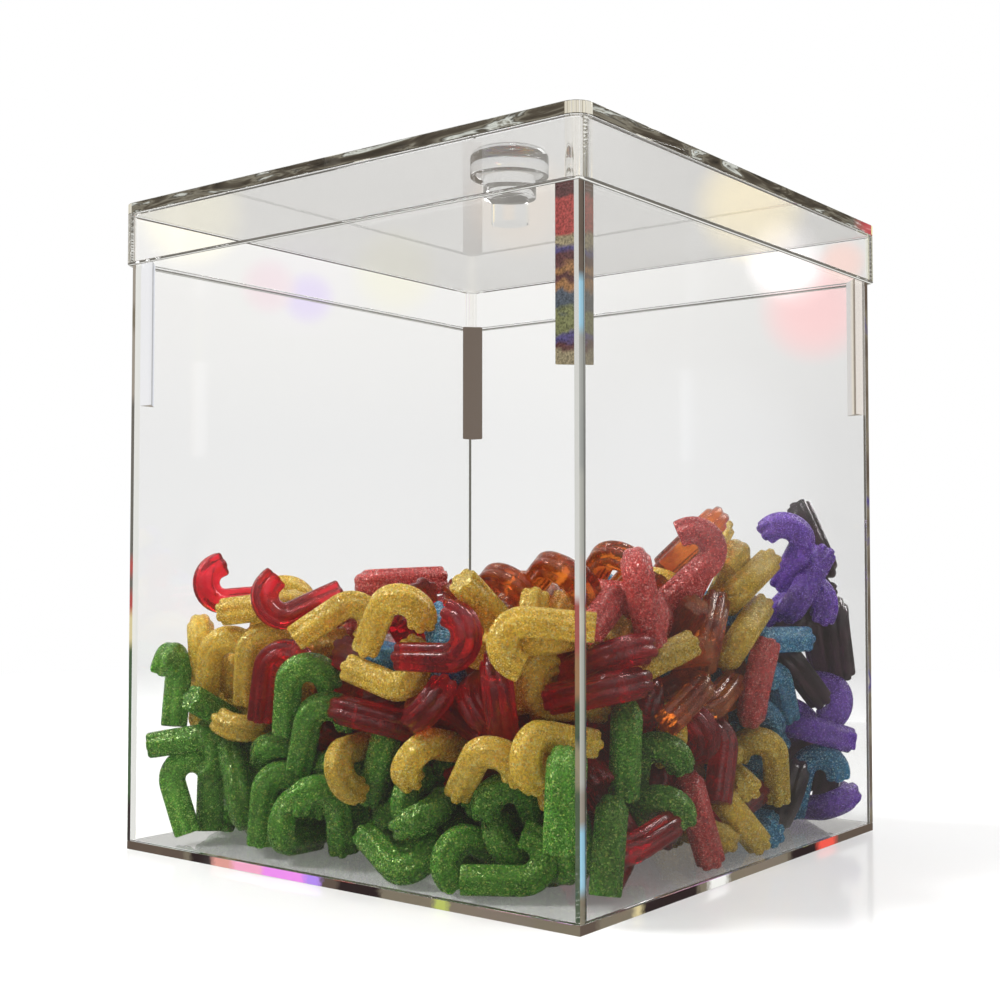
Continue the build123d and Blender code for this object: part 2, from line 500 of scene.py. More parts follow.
def loop(half, radius, z):
    """Points in metres round a square with rounded corners, in mm. A circle's radius is the half width."""
    points = []
    across = (half - radius) * math.sqrt(2)
    for quarter in range(4):
        start = quarter * math.pi / 2
        centre = Vector((math.cos(start + math.pi / 4), math.sin(start + math.pi / 4))) * across
        for step in range(CORNER_STEPS + 1):
            angle = start + step * math.pi / 2 / CORNER_STEPS
            x, y = centre.x + radius * math.cos(angle), centre.y + radius * math.sin(angle)
            points.append(Vector((x, y, z)) * MM)
    return points


def lid_piece(name, node, rows, hollow, made):
    """A mesh that stands for a lid node, through loops of (half width, corner radius, height) rows."""
    mesh = bpy.data.meshes.new(name)
    shape = bmesh.new()
    rings = [[shape.verts.new(point) for point in loop(*row)] for row in rows]
    count = len(rings[0])
    for lower, upper in zip(rings, rings[1:] + rings[:1] if hollow else rings[1:]):
        for i in range(count):
            j = (i + 1) % count
            shape.faces.new((lower[i], lower[j], upper[j], upper[i]))
    if not hollow:
        shape.faces.new(rings[0][::-1])
        shape.faces.new(rings[-1])
    bmesh.ops.remove_doubles(shape, verts=shape.verts, dist=SAME_POINT)
    bmesh.ops.recalc_face_normals(shape, faces=shape.faces)
    shape.to_mesh(mesh)
    shape.free()
    mesh.materials.append(made)
    for face in mesh.polygons:
        face.use_smooth = True
    mesh.set_sharp_from_angle(angle=SMOOTH_BELOW)
    piece = in_scene(name, mesh)
    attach(piece, "lid")
    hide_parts(node)


def softened(half, low, high):
    """Rows up the lid's outside whose two edges are cut off a little."""
    edge = (half - LID_SOFT, LID_CORNER - LID_SOFT)
    face = (half, LID_CORNER)
    return [(*edge, low), (*face, low + LID_SOFT), (*face, high - LID_SOFT), (*edge, high)]


def rounded_edge(radius, z, soft, steps, top=False):
    """Rows round the lower or the top edge of a disc, from its radius and the height of its face."""
    rows = []
    for step in range(steps + 1):
        angle = math.radians((0 if top else -90) + 90 * step / steps)
        r = radius - soft + soft * math.cos(angle)
        rows.append((r, r, (z - soft if top else z + soft) + soft * math.sin(angle)))
    return rows


def build_lid():
    """The lid's plate, skirt and knob, with finer rounds than in CAD."""
    plate_low, plate_high = (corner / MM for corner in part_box("lid_plate"))
    skirt_low, skirt_high = (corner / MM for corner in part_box("lid_skirt"))
    knob_low, knob_high = (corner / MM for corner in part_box("lid_knob"))
    half = plate_high.x
    made = acrylic("lid_acrylic")
    lit = acrylic("lit_lid_acrylic", glint=lid_glint)
    lid_piece("lid_plate_clear", "lid_plate", softened(half, plate_low.z, plate_high.z), False, lit)
    low, high = skirt_low.z, skirt_high.z
    corner = LID_CORNER - (half - SKIRT_INSIDE)
    rebate_top = low + REBATE_HEIGHT
    skirt = softened(half, low, high) + [
        (SKIRT_INSIDE + LID_SOFT, corner + LID_SOFT, high),
        (SKIRT_INSIDE, corner, high - LID_SOFT),
        (SKIRT_INSIDE, corner, rebate_top),
        (REBATE_INSIDE, REBATE_CORNER, rebate_top),
        (REBATE_INSIDE, REBATE_CORNER, low + LID_SOFT),
        (REBATE_INSIDE + LID_SOFT, REBATE_CORNER + LID_SOFT, low),
    ]
    lid_piece("lid_skirt_clear", "lid_skirt", skirt, True, lit)
    collar, head = knob_low.z + COLLAR_UP, knob_low.z + HEAD_UP
    knob = rounded_edge(COLLAR_RADIUS, collar, COLLAR_ROUND, steps=3)
    knob.append((COLLAR_RADIUS, COLLAR_RADIUS, head))
    knob += rounded_edge(HEAD_RADIUS, head, HEAD_LOW_ROUND, steps=5)
    knob += rounded_edge(HEAD_RADIUS, knob_high.z, HEAD_TOP_ROUND, steps=14, top=True)
    lid_piece("lid_knob_clear", "lid_knob", knob, False, made)
    foot = [(FOOT_RADIUS, FOOT_RADIUS, z) for z in (knob_low.z, collar - FOOT_GAP)]
    lid_piece("lid_knob_foot", "lid_knob", foot, False, acrylic("cemented_acrylic", CEMENT_IOR))


build_lid()

# ---- gummies: one shape

# Millimetres. A gummy is a ribbed rod bent into a hook, with both ends cut flat.
GUMMY_RADIUS = 5.0
LOBES, LOBE_POINTS = 6, 6
SUGAR_VALLEY = 0.11  # depth of the grooves between lobes, as a share of the radius, where sugar fills them
JELLY_VALLEY = 0.19
END_VALLEY = 0.25  # and at the cut ends
VALLEY_SHARPNESS = 4.0
VALLEY_FADE = 7.0  # length over which the grooves grow shallow
LEG = 18.5
BEND_RADIUS = 6.8
BEND_TURN = math.radians(160)
TIP = 2.5
ROD = LEG + BEND_RADIUS * BEND_TURN + TIP
END_ROUND = 0.5

# For packing, a gummy is a row of beads
BEADS = 9
BEAD_RADIUS = 5.1
BEAD_INSET = 2.8  # from each end to the first bead's centre


def centreline(lengths):
    """Points on a gummy's centreline, and its directions there, at lengths from the end of its leg."""
    angle = np.clip((lengths - LEG) / BEND_RADIUS, 0.0, BEND_TURN)
    past = np.maximum(lengths - LEG - BEND_RADIUS * BEND_TURN, 0.0)
    x = np.minimum(lengths, LEG) + BEND_RADIUS * np.sin(angle) + past * math.cos(BEND_TURN)
    y = BEND_RADIUS * (1 - np.cos(angle)) + past * math.sin(BEND_TURN)
    zero = np.zeros_like(x)
    return np.stack([x, y, zero], -1), np.stack([np.cos(angle), np.sin(angle), zero], -1)


beads = centreline(np.linspace(BEAD_INSET, ROD - BEAD_INSET, BEADS))[0]
bead_middle = beads.mean(0)
beads = beads - bead_middle
SPREAD = float((beads**2).sum(1).mean())  # square of the radius of gyration

# ---- gummies: where they lie

# The heap's space in the box, from its CAD solid
heap_low, heap_high = (np.array(corner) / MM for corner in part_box("candy_heap"))
REACH = heap_high[0] - BEAD_RADIUS  # how far a bead's centre may be from the middle, in x and y
REST = heap_low[2] + BEAD_RADIUS
WALL_INSIDE = 97.0

# The gummies that show most are placed behind a wall of the box, and their order decides how the heap
# settles. After the colour and the wall, each has the pixel at its leg's end, the pixel of its bend, the turn
# of the hook about the leg in degrees (0 curls to the left, going towards the bend, 90 away from the camera)
# and how far behind the wall the bend is.
PLACED = [
    ("green", FRONT, (175, 723, 177, 660, 300, 12), (150, 751, 212, 736, 180, 14),
     (191, 840, 173, 770, 180, 7), (213, 832, 212, 765, 90, 14)),
    ("yellow", FRONT, (208, 700, 216, 642, 180, 8), (226, 612, 280, 605, 90, 24),
     (262, 640, 272, 590, 180, 30), (249, 703, 252, 640, 180, 13), (196, 690, 199, 650, 90, 30)),
    ("red", FRONT, (275, 597, 216, 602, 180, 22), (343, 592, 283, 620, 180, 8),
     (265, 720, 273, 655, 200, 7)),
    ("green", FRONT, (293, 735, 293, 672, 180, 7), (302, 765, 312, 708, 180, 7)),
    ("yellow", FRONT, (345, 640, 292, 652, 0, 16), (295, 640, 355, 600, 180, 14),
     (368, 648, 390, 598, 180, 10), (352, 667, 405, 690, 0, 7)),
    ("blue", FRONT, (375, 652, 435, 665, 90, 14)),
    ("red", FRONT, (418, 728, 350, 712, 90, 7), (402, 657, 463, 658, 0, 9)),
    ("blue", FRONT, (436, 612, 447, 652, 90, 18)),
    ("pink", FRONT, (445, 580, 385, 583, 90, 34)),
    ("yellow", FRONT, (603, 630, 513, 620, 0, 7)),
    ("red", FRONT, (505, 748, 500, 682, 90, 7), (445, 700, 492, 738, 90, 14), (500, 668, 470, 695, 0, 16)),
    ("yellow", FRONT, (470, 748, 428, 742, 30, 8), (466, 797, 484, 752, 180, 9),
     (600, 712, 542, 703, 180, 7), (548, 640, 548, 690, 90, 15), (590, 745, 537, 735, 0, 13)),
    ("red", FRONT, (560, 697, 615, 682, 90, 7), (562, 668, 612, 662, 90, 15)),
    ("green", FRONT, (457, 884, 540, 882, 0, 7), (525, 862, 465, 838, 0, 9), (455, 830, 408, 818, 180, 7),
     (368, 835, 402, 877, 0, 7), (372, 800, 385, 750, 90, 10)),
    ("yellow", FRONT, (385, 738, 342, 752, 0, 9)),
    ("green", FRONT, (262, 842, 268, 778, 180, 10), (318, 852, 285, 843, 180, 7),
     (232, 745, 245, 800, 90, 13), (345, 850, 337, 792, 0, 10), (543, 840, 525, 782, 0, 9),
     (562, 850, 563, 770, 90, 8)),
    ("green", RIGHT, (602, 896, 607, 815, 90, 7), (618, 800, 622, 725, 90, 9),
     (628, 812, 634, 748, 180, 11), (628, 852, 640, 799, 180, 9)),
    ("yellow", RIGHT, (612, 715, 662, 713, 180, 10), (687, 640, 633, 668, 180, 7)),
    ("pink", RIGHT, (650, 612, 712, 556, 0, 9), (592, 590, 648, 600, 180, 12),
     (594, 622, 632, 590, 180, 20), (662, 632, 684, 592, 90, 17), (640, 645, 634, 580, 90, 14)),
    ("orange", RIGHT, (580, 590, 603, 555, 180, 28)),
    ("orange", FRONT, (480, 600, 500, 574, 180, 36), (535, 585, 552, 563, 180, 40)),
    ("orange", RIGHT, (660, 568, 695, 535, 90, 22)),
    ("yellow", RIGHT, (718, 527, 700, 560, 90, 26), (765, 560, 740, 585, 90, 9),
     (757, 605, 738, 635, 90, 11)),
    ("orange", RIGHT, (712, 600, 703, 640, 90, 9), (720, 632, 738, 690, 180, 12)),
    ("pink", RIGHT, (768, 642, 748, 700, 90, 7)),
    ("purple", RIGHT, (790, 590, 804, 540, 0, 9), (836, 550, 797, 597, 90, 9),
     (766, 608, 806, 588, 180, 14)),
    ("black", RIGHT, (795, 508, 815, 555, 90, 18), (832, 597, 803, 628, 90, 12)),
    ("blue", RIGHT, (800, 640, 757, 640, 0, 12)),
    ("black", RIGHT, (845, 662, 835, 630, 90, 9), (823, 655, 820, 640, 90, 16)),
    ("purple", RIGHT, (808, 680, 843, 692, 180, 7)),
    ("black", RIGHT, (815, 700, 788, 660, 90, 16)),
    ("blue", RIGHT, (783, 715, 775, 675, 0, 14)),
    ("yellow", RIGHT, (772, 800, 770, 745, 0, 7)),
    ("purple", RIGHT, (845, 738, 808, 728, 90, 12)),
    ("blue", RIGHT, (805, 812, 812, 756, 180, 9)),
    ("purple", RIGHT, (793, 832, 822, 808, 90, 7)),
    ("black", RIGHT, (775, 830, 783, 800, 90, 14), (838, 800, 833, 755, 90, 14)),
    ("yellow", RIGHT, (750, 848, 725, 812, 90, 8)),
    ("red", RIGHT, (755, 790, 725, 815, 90, 9)),
    ("pink", RIGHT, (708, 862, 692, 805, 90, 7)),
    ("yellow", RIGHT, (662, 822, 690, 828, 90, 14)),
    ("red", RIGHT, (660, 840, 655, 790, 90, 16)),
]

# The rest fill the heap. Each takes the colour of the nearest of these places, in mm, give or take the stray.
ZONE_RUNS = [
    ("green", (-70, -80, 25), (-20, -85, 20), (40, -85, 18), (88, -86, 22), (-85, -20, 22), (-85, 45, 25)),
    ("yellow", (-65, -75, 70)),
    ("red", (0, -60, 85)),
    ("yellow", (60, -75, 70), (85, -60, 50), (-80, 30, 70), (90, 10, 95), (88, 10, 25), (-10, 85, 75)),
    ("red", (-20, -80, 60), (35, -75, 55), (80, -65, 70), (-45, 10, 85), (85, -15, 35), (-50, 80, 45)),
    ("pink", (85, -50, 100)),
    ("red", (88, -52, 25)),
    ("pink", (-15, -20, 90), (88, -25, 20)),
    ("orange", (35, -30, 100), (0, -30, 95)),
    ("pink", (-40, -40, 85)),
    ("orange", (88, -10, 65), (-15, 50, 90), (-80, 75, 60)),
    ("blue", (85, 40, 65), (0, 10, 95), (85, 45, 20), (-15, 85, 30)),
    ("purple", (88, 75, 105), (88, 80, 45), (50, 60, 105), (25, 85, 75), (-85, 80, 25)),
    ("black", (88, 88, 75), (85, 85, 20), (60, 85, 100), (-45, 85, 70), (-30, 40, 100)),
]
ZONES = [(colour, place) for colour, *places in ZONE_RUNS for place in places]
COLOUR_STRAY = 16.0

GUMMIES = 530
SEED = 11
SETTLE_STEPS = 900
HOLD = 0.25  # share of the way back to its place, as the camera sees it, that a placed gummy moves in a step
HOLD_DEPTH = 0.004  # the same along the camera's sight, where it may give way to its neighbours
PLACED_WEIGHT = 20.0
SINK = 0.03  # mm that gravity moves each gummy in a step
SINK_FADE = 5  # it fades out over the last fifth of the steps
EASE = 0.30  # share of each push that is taken at once
MOST_PUSH = 1.5  # mm in a step
MOST_SPIN = 0.12  # radians in a step
NEIGHBOUR_MARGIN = 2.0
NEIGHBOUR_EVERY = 6
FILL_BELOW = 12.0  # mm below the heap's top that the fillers start
SURFACE = ((-96, 68), (-57, 88), (0, 98), (60, 106), (96, 118))  # the fillers' top: x and height
FILL_LOW, FILL_HIGH = [-90, -78, 8], [78, 90, 120]  # corners of the space that the fillers start in
BEND_SEEN = 0.7  # where along the leg's line a bend's pixel is taken, past the leg, in bend radii
# The heap's sides and bottom for a bead's centre: the axis, the way out and the limit that way
LIMITS = ((0, 1, REACH), (0, -1, REACH), (1, 1, REACH), (1, -1, REACH), (2, -1, -REST))

# Balls of space, in mm, that the photograph shows empty: the centre and the radius
BARE = [((92, -78, 4), 13), ((95, -50, 2), 13), ((98, 10, 0), 14), ((-92, -92, 0), 16), ((10, -98, 0), 10)]


def unit(v):
    return v / np.linalg.norm(v)


def placed_pose(wall, tail_x, tail_y, bend_x, bend_y, turn, depth):
    """Where a placed gummy's middle is, and its axes as columns: along the leg, towards the curl, across."""
    eye = np.array(CAMERA_PLACE) / MM
    inward = 1 if wall == FRONT else -1
    ray = sight((bend_x, bend_y))
    bend = eye + ray * (inward * -WALL_INSIDE + inward * depth - eye[wall]) / ray[wall]
    # the end of the leg is where its own ray comes within the leg's length of the bend, on the far side
    reach = LEG + BEND_SEEN * BEND_RADIUS
    tail_ray = sight((tail_x, tail_y))
    nearest = float((bend - eye) @ tail_ray)
    miss = np.linalg.norm(eye + tail_ray * nearest - bend)
    deeper = math.sqrt(max(reach**2 - miss**2, 0.0))
    tail = eye + tail_ray * (nearest + deeper)
    leg = unit(bend - tail)
    left = unit(np.cross(leg, ray))
    away = np.cross(left, leg) * np.sign(np.cross(left, leg) @ ray)
    turn = math.radians(turn)
    curl = math.cos(turn) * left + math.sin(turn) * away
    axes = np.stack([leg, curl, np.cross(leg, curl)], 1)
    return bend - leg * reach + axes @ bead_middle, axes


def random_turns(rng, count):
    """Rotation matrices spread evenly over all turns."""
    q = rng.normal(size=(count, 4))
    w, x, y, z = (q / np.linalg.norm(q, axis=1)[:, None]).T
    rows = [
        [1 - 2 * (y * y + z * z), 2 * (x * y - w * z), 2 * (x * z + w * y)],
        [2 * (x * y + w * z), 1 - 2 * (x * x + z * z), 2 * (y * z - w * x)],
        [2 * (x * z - w * y), 2 * (y * z + w * x), 1 - 2 * (x * x + y * y)],
    ]
    return np.stack([np.stack(row, -1) for row in rows], 1)


def near_pairs(points, reach):
    """Pairs of beads of different gummies that are nearer than reach, found by a grid of cells."""
    cell = np.floor(points / reach).astype(np.int64)
    cell -= cell.min(0) - 1
    size = cell.max(0) + 2
    key = (cell[:, 0] * size[1] + cell[:, 1]) * size[2] + cell[:, 2]
    order = np.argsort(key, kind="stable")
    ordered = key[order]
    pairs = []
    for shift in np.ndindex(3, 3, 3):
        i, j, k = (s - 1 for s in shift)
        wanted = key + (i * size[1] + j) * size[2] + k
        low = np.searchsorted(ordered, wanted, "left")
        count = np.searchsorted(ordered, wanted, "right") - low
        a = np.repeat(np.arange(len(points)), count)
        start = np.repeat(low - np.concatenate([[0], np.cumsum(count)[:-1]]), count)
        b = order[np.arange(len(a)) + start]
        keep = (a < b) & (a // BEADS != b // BEADS)
        pairs.append((a[keep], b[keep]))
    first, second = np.concatenate(pairs, 1)
    close = np.linalg.norm(points[first] - points[second], axis=1) < reach
    return first[close], second[close]


def turned(axes, spin):
    """Rotation matrices turned further by small rotation vectors."""
    angle = np.linalg.norm(spin, axis=1) + 1e-12
    x, y, z = (spin / angle[:, None]).T
    zero = np.zeros_like(x)
    cross = np.stack([np.stack(r, -1) for r in ([zero, -z, y], [z, zero, -x], [-y, x, zero])], 1)
    s, c = np.sin(angle)[:, None, None], np.cos(angle)[:, None, None]
    return (np.eye(3) + s * cross + (1 - c) * (cross @ cross)) @ axes


def bead_pushes(points, first, second):
    """Pushes between beads that touch: the two beads, the way the first goes and how deep they overlap."""
    apart = points[first] - points[second]
    distance = np.maximum(np.linalg.norm(apart, axis=1), 1e-6)
    touching = distance < 2 * BEAD_RADIUS
    normal = apart[touching] / distance[touching][:, None]
    return first[touching], second[touching], normal, 2 * BEAD_RADIUS - distance[touching]


def space_pushes(points, fillers):
    """Pushes back into the heap's space. Beads before the fillers' first heed only its sides and bottom."""
    above = points[:, 2] + BEAD_RADIUS - np.interp(points[:, 0], *zip(*SURFACE))
    bounds = [(above, np.array([0.0, 0.0, -1.0]), fillers)]
    for centre, radius in BARE:
        apart = points - centre
        distance = np.linalg.norm(apart, axis=1)
        bounds.append((radius + BEAD_RADIUS - distance, apart / distance[:, None], fillers))
    for axis, side, limit in LIMITS:
        bounds.append((side * points[:, axis] - limit, -side * np.eye(3)[axis], 0))
    pushes = []
    for depth, way, start in bounds:
        depth[:start] = 0.0
        past = np.nonzero(depth > 0)[0]
        pushes.append((past, None, np.broadcast_to(way, points.shape)[past], depth[past]))
    return pushes


def shared_out(pushes, points, middle, weight):
    """How far pushes on beads move and turn each gummy."""
    count = len(middle)
    move, spin = np.zeros((count, 3)), np.zeros((count, 3))
    for a, b, normal, depth in pushes:
        ends = [(a // BEADS, np.cross(points[a] - middle[a // BEADS], normal), 1)]
        if b is not None:
            ends.append((b // BEADS, np.cross(points[b] - middle[b // BEADS], normal), -1))
        give = sum((1 + (arm**2).sum(1) / SPREAD) / weight[body] for body, arm, _ in ends)
        push = depth / give
        for body, arm, sign in ends:
            share = sign * push / weight[body]
            for c in range(3):
                move[:, c] += np.bincount(body, share * normal[:, c], count)
                spin[:, c] += np.bincount(body, share * arm[:, c] / SPREAD, count)
    for change, most in ((move, MOST_PUSH), (spin, MOST_SPIN)):
        size = np.linalg.norm(change, axis=1) * EASE
        change *= (EASE * np.minimum(1.0, most / np.maximum(size, 1e-9)))[:, None]
    return move, spin


def settle(middle, axes, placed):
    """Pushes overlapping gummies apart and lets them sink, as rigid rows of beads, in the heap's space."""
    home, home_axes = middle[:placed].copy(), axes[:placed].copy()
    weight = np.where(np.arange(len(middle)) < placed, PLACED_WEIGHT, 1.0)
    sights = home - np.array(CAMERA_PLACE) / MM
    sights /= np.linalg.norm(sights, axis=1)[:, None]
    for step in range(SETTLE_STEPS):
        left = 1 - step / SETTLE_STEPS
        middle[placed:, 2] -= SINK * min(1.0, SINK_FADE * left)
        back = home - middle[:placed]
        deep = (back * sights).sum(1)[:, None] * sights
        middle[:placed] += HOLD * (back - deep) + HOLD_DEPTH * deep
        aim = np.cross(axes[:placed].transpose(0, 2, 1), home_axes.transpose(0, 2, 1)).sum(1) / 2
        axes[:placed] = turned(axes[:placed], HOLD * aim)
        points = (middle[:, None] + np.einsum("nij,kj->nki", axes, beads)).reshape(-1, 3)
        if step % NEIGHBOUR_EVERY == 0:
            pairs = near_pairs(points, 2 * BEAD_RADIUS + NEIGHBOUR_MARGIN)
        pushes = [bead_pushes(points, *pairs)] + space_pushes(points, placed * BEADS)
        move, spin = shared_out(pushes, points, middle, weight)
        middle += move
        axes = turned(axes, spin)
    return middle, axes


def pack_heap():
    """Every gummy's colour, middle and axes."""
    rng = np.random.default_rng(SEED)
    poses = [placed_pose(wall, *row) for _, wall, *rows in PLACED for row in rows]
    colours = [colour for colour, _, *rows in PLACED for _ in rows]
    placed = len(poses)
    middle = [p[0] for p in poses]
    while len(middle) < GUMMIES:
        spot = rng.uniform(FILL_LOW, FILL_HIGH)
        if spot[2] < np.interp(spot[0], *zip(*SURFACE)) - FILL_BELOW:
            middle.append(spot)
    axes = np.concatenate([[p[1] for p in poses], random_turns(rng, GUMMIES - placed)])
    middle, axes = settle(np.array(middle), axes, placed)
    places = np.array([place for _, place in ZONES], float)
    for spot in middle[placed:]:
        far = np.linalg.norm(places - spot, axis=1) + rng.uniform(0, COLOUR_STRAY, len(ZONES))
        colours.append(ZONES[int(far.argmin())][0])
    return colours, middle, axes


# ---- gummies: meshes

LEG_RINGS, BEND_RINGS = 3, 14
END_STEPS = (0.6, 0.1)  # how far the first and second rings draw in, as shares of END_ROUND
SMOOTH_GUMMY = math.radians(48)


def gummy_mesh(valley):
    """Vertices, in mm from the gummy's middle, and faces of one gummy with grooves of a depth."""
    lengths = np.concatenate([
        [0.0, END_ROUND],
        np.linspace(0, LEG, LEG_RINGS + 1)[1:],
        np.linspace(LEG, LEG + BEND_RADIUS * BEND_TURN, BEND_RINGS + 1)[1:],
        [ROD - END_ROUND, ROD],
    ])
    sizes = np.full(len(lengths), GUMMY_RADIUS)
    for k, step in enumerate(END_STEPS):
        sizes[[k, -1 - k]] -= END_ROUND * step
    points, ahead = centreline(lengths)
    from_end = np.minimum(lengths, ROD - lengths)
    valley = valley + (END_VALLEY - valley) * np.clip(1 - from_end / VALLEY_FADE, 0, 1)
    ring = LOBES * LOBE_POINTS
    angle = np.arange(ring) * 2 * math.pi / ring
    groove = np.abs(np.cos(angle * LOBES / 2)) ** VALLEY_SHARPNESS
    radius = (sizes[:, None] * (1 - valley[:, None] * groove))[..., None]
    across = np.stack([-ahead[:, 1], ahead[:, 0], ahead[:, 2]], -1)[:, None]
    up = np.array([0.0, 0.0, 1.0])
    round_points = np.cos(angle)[None, :, None] * across + np.sin(angle)[None, :, None] * up
    verts = (points[:, None] + radius * round_points).reshape(-1, 3) - bead_middle
    faces = []
    for start in range(0, (len(lengths) - 1) * ring, ring):
        for i in range(ring):
            j = (i + 1) % ring
            faces.append((start + i, start + j, start + ring + j, start + ring + i))
    faces.append(tuple(range(ring))[::-1])
    faces.append(tuple(range(len(verts) - ring, len(verts))))
    return verts, faces


def join_gummies(name, poses, valley, made):
    """One mesh of gummies of a colour."""
    verts, faces = gummy_mesh(valley)
    all_verts = [place + verts @ axes.T for place, axes in poses]
    all_faces = [tuple(i + n * len(verts) for i in face) for n in range(len(poses)) for face in faces]
    mesh = bpy.data.meshes.new(name)
    mesh.from_pydata((np.concatenate(all_verts) * MM).tolist(), [], all_faces)
    for face in mesh.polygons:
        face.use_smooth = len(face.vertices) == 4
    mesh.materials.append(made)
    mesh.set_sharp_from_angle(angle=SMOOTH_GUMMY)
    mesh.validate()
    piece = in_scene(name, mesh)
    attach(piece, "bin")
    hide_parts("candy_heap")


# ---- gummies: looks

SUGAR_GRAINS = 2500.0  # grains per metre
SUGAR_TILT, JELLY_TILT, COAT_TILT = 0.72, 0.12, 0.35
PATCH_SCALE = 90.0


def faceted(s, colour, tilt):
    """The surface's normal, leaning a different way on each grain."""
    lean = s.vector("MULTIPLY_ADD", colour, (tilt,) * 3, (-tilt / 2,) * 3)
    return s.vector("NORMALIZE", s.vector("ADD", s.normal(), lean))


def skin(name, detail):
    """A gummy's material to be filled in, with grains by colour and soft patches."""
    made, s = material(name)
    place = s.place()
    grains = s.add("TexVoronoi", {"Vector": place, "Scale": SUGAR_GRAINS}).outputs["Color"]
    return made, s, grains, s.noise(place, PATCH_SCALE, detail)


def sugared(name, colour, sparkle, radius):
    """Translucent gummy under a coat of fine coloured sugar."""
    made, s, grains, patches = skin(name, detail=2.0)
    chance = s.add("SeparateColor", {0: grains}).outputs
    deep = tuple(0.5 * c for c in colour)
    pale = tuple(min(1.0, 1.3 * c + 0.01) for c in colour)
    # Grains differ in tone at random; the brightest turn to the sparkle colour, a painted sparkle standing in
    # for glints
    glitter = s.ramp(chance[0], [(0.0, deep), (0.40, colour), (0.84, pale), (0.96, sparkle)])
    each = s.add("NewGeometry").outputs["Random Per Island"]
    shade = s.math("MULTIPLY_ADD", patches, 0.6, s.math("MULTIPLY_ADD", each, 0.4, 0.5))
    inputs = {
        "Base Color": s.vector("MULTIPLY", glitter, shade),
        "Roughness": s.math("MULTIPLY_ADD", chance[1], 0.22, 0.09),
        "IOR": 1.5,
        "Normal": faceted(s, grains, SUGAR_TILT),
        "Transmission Weight": 0.5,
        "Subsurface Weight": 0.4,
        "Subsurface Radius": radius,
        "Subsurface Scale": 4.0 * MM,
        "Specular Tint": (*sparkle, 1.0),
    }
    s.surface(s.add("BsdfPrincipled", inputs).outputs[0])
    return made


def jelly(name, dark, colour, transmission=0.85):
    """Clear glossy gummy, with a few fine grains on it."""
    made, s, grains, patches = skin(name, detail=3.0)
    inputs = {
        "Base Color": s.ramp(patches, [(0.38, dark), (0.64, colour)]),
        "Roughness": 0.05,
        "IOR": 1.42,
        "Transmission Weight": transmission,
        "Normal": faceted(s, grains, JELLY_TILT),
        "Coat Weight": 0.5,
        "Coat Roughness": 0.03,
        "Coat Normal": faceted(s, grains, COAT_TILT),
    }
    s.surface(s.add("BsdfPrincipled", inputs).outputs[0])
    return made


# By colour: the kind of gummy, and what its function takes after the name
LOOKS = {
    "green": (sugared, (0.080, 0.255, 0.030), (0.60, 0.76, 0.22), (0.4, 1.0, 0.1)),
    "yellow": (sugared, (0.74, 0.49, 0.055), (1.00, 0.90, 0.42), (1.0, 0.7, 0.2)),
    "pink": (sugared, (0.56, 0.075, 0.07), (1.00, 0.48, 0.42), (1.0, 0.2, 0.15)),
    "blue": (sugared, (0.05, 0.24, 0.42), (0.60, 0.90, 1.00), (0.1, 0.5, 1.0)),
    "purple": (sugared, (0.19, 0.08, 0.46), (0.55, 0.40, 0.95), (0.5, 0.2, 1.0)),
    "red": (jelly, (0.50, 0.003, 0.010), (0.88, 0.02, 0.045), 0.92),
    "orange": (jelly, (0.42, 0.05, 0.004), (0.92, 0.27, 0.03)),
    "black": (jelly, (0.010, 0.005, 0.010), (0.07, 0.03, 0.045), 0.5),
}
MOST_IN_PIECE = 90  # gummies in one mesh

colours, middle, axes = pack_heap()
for colour, (look, *values) in LOOKS.items():
    poses = [(middle[i], axes[i]) for i, c in enumerate(colours) if c == colour]
    made = look(f"gummy_{colour}", *values)
    valley = JELLY_VALLEY if look is jelly else SUGAR_VALLEY
    for number, start in enumerate(range(0, len(poses), MOST_IN_PIECE), 1):
        join_gummies(f"gummies_{colour}_{number}", poses[start : start + MOST_IN_PIECE], valley, made)

# ---- stage, lamps and world

FLOOR_SIZE = 8.0
FLOOR_DROP = 0.0002
FLOOR_LIFT = 0.16  # brings the unshaded floor up to white
# Painted light: the floor seen through the box is lifted more, which lightens the shade under the heap
UNDER_BOX = 1.5  # times the lift, for the floor seen through the box
FLOOR_PAINT = (0.8, 0.8, 0.8, 1.0)
FLOOR_IN_MIRRORS = (0.14, 0.13, 0.12, 1.0)
FLOOR_IN_EDGES = (0.20, 0.19, 0.17, 1.0)
EDGE_LEVEL, LEVEL_BAND = (0.30, 0.29, 0.27, 1.0), (0.17, 0.22)  # what the edges mirror near the horizon
# Distances from the box's middle, in metres, between which each thing about the floor changes
GLOSS_ENDS = (0.12, 0.45)
LIFT_EVENS = (0.17, 0.32)
FLOOR_FADES = (0.36, 0.90)
SIDE_LIGHT = (0.45, 1.1)
LAMPS_AIM = Vector((0, 0, 0.1))

